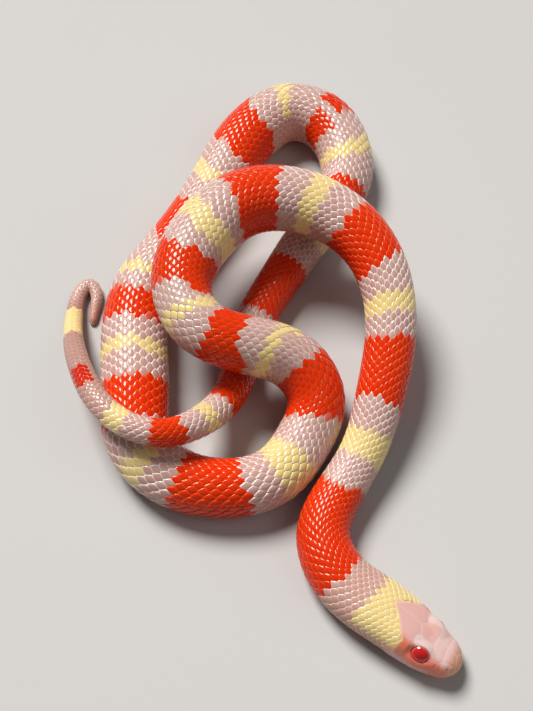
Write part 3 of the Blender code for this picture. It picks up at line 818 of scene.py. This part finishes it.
# Painted shade: a stretch of the tail near its end is darkened as if it lay in shade.
TAIL_SHADE_ALONG = (326.0, 338.0, 352.0, 357.0)
TIP_MARGIN = 0.02
LEAF_ALONG = np.array([-1.0, -0.86, -0.45, 0.0, 0.45, 0.86, 1.0])
LEAF_ACROSS = np.array([-1.0, -0.8, -0.3, 0.3, 0.8, 1.0])
PATCH = 0.0024
PATCH_LEAST = 0.3
UNDER_SHIFT = 2.6
MAP_START = 0.03
MAP_LENGTH = 0.93
MAP_REACH = 0.47
chance = np.random.default_rng(7)


def pitch(along):
    """Distance from scale to scale in a row."""
    return np.interp(along, *np.array(PITCHES).T)


COUNTED = np.linspace(0, TOTAL, 4000)
COUNTS = np.concatenate([[0], np.cumsum(np.diff(COUNTED) / pitch((COUNTED[1:] + COUNTED[:-1]) / 2))])


def row_girth(along, row, rows):
    """Girth of a row: even steps out to the reach, drawn together towards the back on the neck."""
    even = ROW_REACH / (rows / 2)
    crowd = NECK_CROWDING + (BACK_CROWDING - NECK_CROWDING) * ease(along, 24.0, 44.0)
    inner = even * crowd
    outer = (ROW_REACH - inner * rows / 2) / (rows / 2) ** 2
    return inner * row + outer * row * np.abs(row)


def grid_faces(rows, columns):
    """Corners of one grid's faces, and how many each face has: its squares, then one face below its rim."""
    i, j = np.meshgrid(np.arange(rows - 1), np.arange(columns - 1), indexing="ij")
    first = (i * columns + j).ravel()
    squares = np.column_stack([first, first + 1, first + columns + 1, first + columns])
    under = np.concatenate([
        np.arange(rows) * columns, (rows - 1) * columns + np.arange(1, columns),
        np.arange(rows - 2, -1, -1) * columns + columns - 1, np.arange(columns - 2, 0, -1)])
    return np.concatenate([squares.ravel(), under]), np.append(np.full(len(squares), 4), len(under))


def coat_piece(name, points, count, template, face_sizes, values, patches, material):
    """One mesh of many grids alike, each with the same faces: the template, moved on by a grid's points."""
    starts = np.arange(count) * (len(points) // count)
    corners = (template[None, :] + starts[:, None]).ravel()
    piece = make_piece(name, points, corners, np.tile(face_sizes, count), values, material, patches)
    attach(piece, "root")


def lay_scales(name, along, girth, length, breadth, material, first, last):
    """Many scales as one mesh. Each is a small grid bent over the body.

    Its half breadth at x from -1 (root) to 1 (tip) is (1 - |x|^1.2)^0.9, with a least value. It rises in
    a straight line from root to tip, with a crown of (1 - x^2)(1 - y^2). The outer ring of the grid is
    lower by the scale's thickness, and one face closes it below. Small scales are thinner. Where a bend
    stretches the body's outer side, a scale is shortened by a power of the stretch.
    """
    x, y = (grid.ravel() for grid in np.meshgrid(LEAF_ALONG, LEAF_ACROSS, indexing="ij"))
    shape = np.maximum((1 - np.abs(x) ** 1.2) ** 0.9, LEAST_BREADTH)
    border = (np.abs(x) == 1) | (np.abs(y) == 1)
    stout = (length / SCALE_LENGTH / FULL_PITCH)[:, None]
    height = SCALE_ROOT + (SCALE_TIP - SCALE_ROOT) * (x + 1) / 2 + SCALE_CROWN * (1 - x ** 2) * (1 - y ** 2)
    height = (height - SCALE_EDGE * border)[None, :] * stout
    pulled = bare_point(along + STRETCH_STEP, girth) - bare_point(along - STRETCH_STEP, girth)
    stretch = np.linalg.norm(pulled, axis=1) / (2 * STRETCH_STEP)
    length = length / np.clip(stretch, *STRETCH_LIMITS) ** STRETCH_POWER
    places = np.minimum(along[:, None] + x * length[:, None] / 2, TOTAL - TIP_MARGIN)
    rounds = girth[:, None] + y * shape * (breadth / 2 / half_round(along))[:, None]
    points = on_body(places.ravel(), rounds.ravel(), height.ravel())
    template, face_sizes = grid_faces(len(LEAF_ALONG), len(LEAF_ACROSS))
    count = len(along)
    turn = np.degrees(turn_at(along, girth))
    lot = chance.random(count)
    jolted = along + (chance.random(count) - 0.5) * BAND_JOLT
    red, _ = marking(jolted, turn, RED_SOFTNESS)
    _, yellow = marking(jolted, turn, YELLOW_SOFTNESS)
    # Painted shade on the flanks and along the tail, with the neck's own warmer colour, all in one share.
    warmth_and_shade = sum(share * ease(along, start, end) for start, end, share in TAIL_WARMTH_AND_SHADE)
    warmth_and_shade = np.maximum(warmth_and_shade, WARM_NECK * (1 - ease(along, *WARM_NECK_FADE)))
    warmth_and_shade = np.clip(warmth_and_shade + SIDE_SHADE * ease(np.abs(turn), *SIDE_SHADE_TURN), 0, 1)
    # The darker stretch of the tail, as painted shade.
    tail_shade = window(along, *TAIL_SHADE_ALONG)
    flat = np.column_stack([x, y * np.maximum(shape, PATCH_LEAST)])[template]
    flat[-face_sizes[-1]:, 0] += UNDER_SHIFT
    centre = np.column_stack([MAP_START + MAP_LENGTH * (along - first) / (last - first),
                              0.5 + MAP_REACH * girth / np.max(np.abs(girth))])
    patches = (centre[:, None, :] + (flat * PATCH)[None, :, :]).reshape(-1, 2)
    shares = {"red_share": red, "yellow_share": yellow, "lot": lot, "warmth_and_shade": warmth_and_shade, "tail_shade": tail_shade}
    values = {label: np.repeat(share, len(x)) for label, share in shares.items()}
    values.update({"lengthwise": np.tile(x, count), "crosswise": np.tile(y, count)})
    coat_piece(name, points, count, template, face_sizes, values, patches, material)


MAUVE = (0.56, 0.315, 0.27, 1.0)
PINK_RIM = (0.95, 0.85, 0.80, 1.0)
# The warm pink and the deep red are partly the neck's warmer colour and partly painted shade on the flanks
# and tail.
WARM_PINK_AND_SHADE = (0.54, 0.255, 0.175, 1.0)
RED_HEART = (0.76, 0.026, 0.0003, 1.0)
RED_RIM = (0.94, 0.125, 0.004, 1.0)
DEEP_SHADED_RED = (0.50, 0.012, 0.0004, 1.0)
CREAM = (0.95, 0.86, 0.56, 1.0)
CREAM_HEART = (0.85, 0.64, 0.25, 1.0)
# Dark colour for the painted shade on the tail.
TAIL_SHADE_COLOUR = (0.20, 0.08, 0.06, 1.0)
FLECK_BROWN = (0.48, 0.14, 0.07, 1.0)
RIM_START = 0.58
RIM_END = 0.88

scale_material, sockets, wire = new_material("glossy_scales")
lot = wire.attribute("lot")
crosswise = wire.math("ABSOLUTE", wire.attribute("crosswise"))
outermost = wire.math("MAXIMUM", wire.attribute("lengthwise"), crosswise)
rim = wire.node("ShaderNodeMapRange", {"interpolation_type": "SMOOTHSTEP"},
                {"Value": outermost, "From Min": RIM_START, "From Max": RIM_END})
cloud = grain(wire, 2.5, 3.0)
fleck = grain(wire, 0.25, 2.0)
# Painted shade: the warm share darkens pinks towards a warm pink and reds towards a deep red on the flanks
# and tail.
warmth_and_shade = wire.attribute("warmth_and_shade")
pink = (0.9 * rim * (1 - 0.8 * warmth_and_shade) + 0.25 * cloud * lot).blend(MAUVE, PINK_RIM)
pink = (0.8 * warmth_and_shade * (1 - 0.4 * rim)).blend(pink, WARM_PINK_AND_SHADE)
# Painted shade on a stretch of the tail, darkening pinks and reds.
tail_shade = wire.attribute("tail_shade")
pink = (0.34 * tail_shade).blend(pink, TAIL_SHADE_COLOUR)
red = (0.85 * rim * (0.5 + 0.5 * lot)).blend(RED_HEART, RED_RIM)
red = (0.7 * warmth_and_shade + 0.5 * tail_shade).blend(red, DEEP_SHADED_RED)
yellow = (0.85 * rim).blend(CREAM_HEART, CREAM)
colour = wire.attribute("red_share").blend(pink, red)
colour = wire.attribute("yellow_share").blend(colour, yellow)
colour = (0.12 * lot * fleck).blend(colour, FLECK_BROWN)
feed(colour, sockets["Base Color"])
feed(0.10 + 0.12 * fleck, sockets["Roughness"])
sockets["Specular IOR Level"].default_value = 0.25
sockets["Coat Weight"].default_value = 0.24
sockets["Coat Roughness"].default_value = 0.06
bump = wire.node("ShaderNodeBump", {}, {"Strength": 0.1, "Distance": 0.00003, "Height": fleck})
feed(bump, sockets["Normal"])

COAT_CUTS = [0.0, 62.0, 120.0, 182.0, 245.0, TOTAL]
FRONT_GIVE = 0.1
THROAT_ROWS = 4
THROAT_END = 14.0
THROAT_GIRTH = 0.97
scale_along, scale_girth, scale_breadth = [], [], []
for start, end, rows in ROW_BLOCKS:
    half = (rows - 1) // 2
    reach = half + THROAT_ROWS if start < THROAT_END else half
    for row in range(-reach, reach + 1):
        first, last = np.interp([start, end], COUNTED, COUNTS)
        numbers = np.arange(math.ceil(first - row % 2 / 2), last - row % 2 / 2)
        places = np.interp(numbers + row % 2 / 2, COUNTS, COUNTED)
        across = row_girth(places, row, rows)
        step = row_girth(places, abs(row) + 0.5, rows) - row_girth(places, abs(row) - 0.5, rows)
        arc = np.abs(across) * half_round(places)
        keep = places > np.interp(arc, *np.array(COAT_FRONT).T) - FRONT_GIVE * pitch(places)
        if abs(row) > half:
            keep &= (places < THROAT_END) & (np.abs(across) < THROAT_GIRTH)
        scale_along.append(places[keep])
        scale_girth.append(across[keep])
        scale_breadth.append((step * half_round(places) * SCALE_BREADTH)[keep])
scale_along = np.concatenate(scale_along)
scale_girth = np.concatenate(scale_girth)
scale_breadth = np.concatenate(scale_breadth)
for number, (first, last) in enumerate(zip(COAT_CUTS, COAT_CUTS[1:])):
    here = (scale_along >= first) & (scale_along < last)
    low, high = scale_along[here].min(), scale_along[here].max()
    lay_scales("scales_%d" % (number + 1), scale_along[here], scale_girth[here],
               SCALE_LENGTH * pitch(scale_along[here]), scale_breadth[here], scale_material, low, high)

# The belly: one broad smooth plate under each row of scales, in the same glossy finish, rooted in the
# skin and lapping the next one back. Under the tail the plates are split in two.
SCUTE_START = 14.0
SCUTE_END = 312.0
SCUTE_LENGTH = 1.4
SCUTE_REACH = 0.325
SCUTE_CROWN = 0.02
SCUTE_EDGE = 0.018
SCUTE_TAPER = 0.45
SCUTE_JOLT = 0.5
SCUTE_SOFTNESS = 0.22
PLATE_ALONG = np.array([-1.0, -0.8, 0.0, 0.8, 1.0])
PLATE_ACROSS = np.concatenate([[-1.0], np.linspace(-0.97, 0.97, 13), [1.0]])
PLATE_MAP_LENGTH = 0.94
PLATE_PATCH = np.array([0.645, 0.42])
PLATE_PATCH_LENGTH = 0.3
RIM_SHARE = 0.75
TAIL_SCUTES_END = TOTAL - 0.8
TAIL_SCUTE_GIRTH = 0.85
TAIL_SCUTE_BREADTH = 0.36


def lay_scutes(name, along, material):
    """Belly plates as one mesh. Each is a grid that runs round under the body from side to side.

    At y across, from -1 to 1, it is shorter by a taper's part of y^8. Its outer ring is lower by the
    plate's thickness, and it rises from front to rear as the scales do, with a low crown of (1 - x^2).
    """
    x, y = (grid.ravel() for grid in np.meshgrid(PLATE_ALONG, PLATE_ACROSS, indexing="ij"))
    border = (np.abs(x) == 1) | (np.abs(y) == 1)
    height = SCALE_ROOT + (SCALE_TIP - SCALE_ROOT) * (x + 1) / 2 + SCUTE_CROWN * (1 - x ** 2)
    height = height - SCUTE_EDGE * border
    length = SCUTE_LENGTH * pitch(along)
    places = along[:, None] + (x * (1 - SCUTE_TAPER * y ** 8))[None, :] * length[:, None] / 2
    rounds = np.broadcast_to(1 + y * SCUTE_REACH, places.shape)
    count = len(along)
    points = on_body(places.ravel(), rounds.ravel(), np.tile(height, count))
    template, face_sizes = grid_faces(len(PLATE_ALONG), len(PLATE_ACROSS))
    turn = np.degrees(turn_at(np.repeat(along, len(x)), rounds.ravel()))
    jolt = (chance.random(count) - 0.5) * SCUTE_JOLT
    red, yellow = marking(np.repeat(along + jolt, len(x)), turn, SCUTE_SOFTNESS)
    lot = np.repeat(chance.random(count), len(x))
    flat = np.column_stack([x * PLATE_PATCH_LENGTH / count, y])[template]
    flat[-face_sizes[-1]:, 0] += 1 / count
    patch = flat * PLATE_PATCH
    centre = np.column_stack([MAP_START + PLATE_MAP_LENGTH * np.arange(count) / count, np.full(count, 0.5)])
    patches = (centre[:, None, :] + patch[None, :, :]).reshape(-1, 2)
    values = {"red_share": red, "yellow_share": yellow, "lot": lot, "warmth_and_shade": np.full(len(lot), WARM_NECK),
              "lengthwise": np.tile(x, count), "crosswise": np.tile(y * RIM_SHARE, count)}
    coat_piece(name, points, count, template, face_sizes, values, patches, material)


first, last = np.interp([SCUTE_START, SCUTE_END], COUNTED, COUNTS)
scute_places = np.interp(np.arange(math.ceil(first), last), COUNTS, COUNTED)
lay_scutes("belly_scutes", scute_places, scale_material)

first, last = np.interp([SCUTE_END, TAIL_SCUTES_END], COUNTED, COUNTS)
numbers = np.arange(math.ceil(first), last, 0.5)
tail_places = np.interp(numbers, COUNTS, COUNTED)
tail_girth = np.where(np.arange(len(numbers)) % 2 == 0, 1.0, -1.0) * TAIL_SCUTE_GIRTH
lay_scales("tail_scutes", tail_places, tail_girth, SCALE_LENGTH * pitch(tail_places),
           TAIL_SCUTE_BREADTH * half_round(tail_places), scale_material, tail_places.min(),
           tail_places.max())

# The floor is a plain pale sheet. The light is a broad soft sun from behind on the left and a weak,
# broader one opposite that leaves no glints, with a faint sky. The camera looks down at the photo's angle.
FLOOR_HALF = 1.5
FLOOR_DROP = -0.01
FLOOR_PALE = (0.56, 0.55, 0.54, 1.0)
FLOOR_SHADE = (0.53, 0.52, 0.51, 1.0)
CLOUD_WIDTH = 60.0
SKY_TINT = (0.92, 0.95, 1.0, 1.0)
SKY_STRENGTH = 0.1
floor_material, sockets, wire = new_material("pale_floor")
feed((0.5 * grain(wire, CLOUD_WIDTH, 3.0)).blend(FLOOR_PALE, FLOOR_SHADE), sockets["Base Color"])
sockets["Roughness"].default_value = 0.75
spots = np.array([(-1, -1, 0), (1, -1, 0), (1, 1, 0), (-1, 1, 0)], dtype=float) * FLOOR_HALF / MM
spots[:, 2] = FLOOR_DROP
floor = make_piece("floor", spots, np.arange(4), np.array([4]), {}, floor_material)
floor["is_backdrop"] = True

# Each sun: where it shines from, its breadth in degrees, its strength and its tint.
LAMPS = [("key", (-0.36, 0.50, 0.79), 24.0, 4.05, (1.0, 0.98, 0.95)),
         ("fill", (0.66, -0.26, 0.70), 50.0, 0.42, (1.0, 0.94, 0.90))]
for label, (right, back, high), breadth, power, tint in LAMPS:
    lamp = bpy.data.lights.new(label, "SUN")
    lamp.angle = math.radians(breadth)
    lamp.energy = power
    lamp.color = tint
    holder = bpy.data.objects.new(label, lamp)
    holder.visible_glossy = label == "key"
    holder.location = (right, back, high)
    tilt, heading = math.atan2(math.hypot(right, back), high), math.atan2(back, right) + math.pi / 2
    holder.rotation_euler = (tilt, 0, heading)
    bpy.context.scene.collection.objects.link(holder)

world = bpy.data.worlds.new("soft_room")
world.use_nodes = True
world.node_tree.nodes["Background"].inputs["Color"].default_value = SKY_TINT
world.node_tree.nodes["Background"].inputs["Strength"].default_value = SKY_STRENGTH
bpy.context.scene.world = world
bpy.context.scene.view_settings.view_transform = "Standard"

DISTANCE = 153.06
ELEVATION = 60.0
TARGET = np.append(-BOX_MIDDLE, 0.0)
camera = bpy.data.cameras.new("camera")
camera.lens = 50
camera.sensor_fit = "VERTICAL"
camera.sensor_height = 36
camera.clip_start = 0.005
viewer = bpy.data.objects.new("camera", camera)
high = math.radians(ELEVATION)
viewer.location = (TARGET + DISTANCE * np.array([0, -math.cos(high), math.sin(high)])) * MM
viewer.rotation_euler = (math.pi / 2 - high, 0, 0)
bpy.context.scene.collection.objects.link(viewer)
bpy.context.scene.camera = viewer

# The sizes of the model and of what is shown, side by side.
low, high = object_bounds()
sizes = {"cad": [list(cad_low), list(cad_high)], "shown": [list(low), list(high)]}
